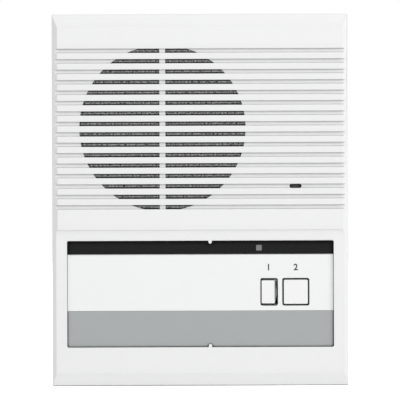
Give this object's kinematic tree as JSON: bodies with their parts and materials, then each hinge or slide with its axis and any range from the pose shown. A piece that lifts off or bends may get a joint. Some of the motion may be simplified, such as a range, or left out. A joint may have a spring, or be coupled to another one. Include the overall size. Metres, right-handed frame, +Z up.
{
  "type": "desk intercom",
  "caption": "Small desk intercom: bevelled two-part case, grooved loudspeaker grille, microphone slot, indicator window and two sprung push keys on a sunk panel.",
  "frame": {"origin": "under the middle of the case, on the flat lower edge that it stands on, half way through its depth", "axes": "+X to the right as seen from the front, +Y from the face to the back, +Z up"},
  "size_m": [0.15, 0.042, 0.1885],
  "materials": {
    "cover_plastic": "fine satin moulding, slightly cool off-white",
    "case_plastic": "fine satin moulding, off-white",
    "panel_white": "smooth satin sheet",
    "name_grey": "smooth satin grey",
    "smoked_window": "polished dark sheet",
    "key_plastic": "semi-gloss moulding",
    "lamp_plastic": "frosted clear",
    "dark_plastic": "satin black",
    "plunger_plastic": "natural nylon",
    "spring_steel": "bright drawn wire",
    "zinc_steel": "bright zinc plate",
    "frame_steel": "zinc-plated pressing",
    "board_phenolic": "brown resin-bonded paper",
    "led_red": "tinted clear",
    "core_iron": "stacked laminations",
    "copper": "enamelled wire",
    "can_sleeve": "shrunk sleeve",
    "resistor_lacquer": "lacquer",
    "block_plastic": "green moulding",
    "ribbon_grey": "soft vinyl",
    "boot_rubber": "soft black",
    "felt_grey": "thin dust felt",
    "capsule_metal": "drawn can",
    "grille_fabric": "loose dark weave",
    "gasket_board": "pressed board",
    "cone_paper": "pressed pulp",
    "treated_cloth": "resin-treated cloth",
    "ferrite": "sintered",
    "strip_phenolic": "punched strip"
  },
  "bodies": {
    "housing": {"front_cover": "cover_plastic", "rear_case": "case_plastic", "cover_screw": "zinc_steel", "panel_plate": "panel_white", "window_strip": "smoked_window", "name_strip": "name_grey", "call_switch": "dark_plastic", "privacy_switch": "dark_plastic", "call_spring": "spring_steel", "privacy_spring": "spring_steel", "key_board": "board_phenolic", "key_board_screws": "zinc_steel", "indicator_led": "led_red", "lamp_guide": "lamp_plastic", "main_board": "board_phenolic", "main_board_screws": "zinc_steel", "transformer_core": "core_iron", "transformer_winding": "copper", "capacitors": "can_sleeve", "amplifier_chip": "dark_plastic", "resistors": "resistor_lacquer", "terminal_block": "block_plastic", "terminal_screws": "zinc_steel", "ribbon_headers": "dark_plastic", "board_ribbon": "ribbon_grey", "mic_boot": "boot_rubber", "mic_felt": "felt_grey", "mic_capsule": "capsule_metal", "grille_cloth": "grille_fabric", "speaker_frame": "frame_steel", "speaker_gasket": "gasket_board", "speaker_surround": "treated_cloth", "speaker_spider": "treated_cloth", "speaker_top_plate": "frame_steel", "speaker_magnet": "ferrite", "speaker_yoke": "frame_steel", "speaker_clips": "zinc_steel", "speaker_screws": "zinc_steel", "speaker_terminals": "strip_phenolic"},
    "call_key": {"call_button": "key_plastic", "call_plunger": "plunger_plastic"},
    "privacy_key": {"privacy_button": "key_plastic", "privacy_plunger": "plunger_plastic"},
    "cone_assembly": {"speaker_cone": "cone_paper", "speaker_dust_cap": "cone_paper", "voice_coil": "copper"}
  },
  "joints": [
    {"name": "call_press", "type": "slide", "parent": "housing", "child": "call_key", "axis": [0, 1, 0], "range_m": [0, 0.0018], "stiffness_N_per_m": 250, "springref_m": -0.003, "deforming": ["call_spring"]},
    {"name": "privacy_press", "type": "slide", "parent": "housing", "child": "privacy_key", "axis": [0, 1, 0], "range_m": [0, 0.0025], "stiffness_N_per_m": 250, "springref_m": -0.003, "deforming": ["privacy_spring"]},
    {"name": "cone_travel", "type": "slide", "parent": "housing", "child": "cone_assembly", "axis": [0, 1, 0], "range_m": [-0.0005, 0.0005], "stiffness_N_per_m": 1500, "deforming": ["speaker_surround", "speaker_spider"]}
  ]
}
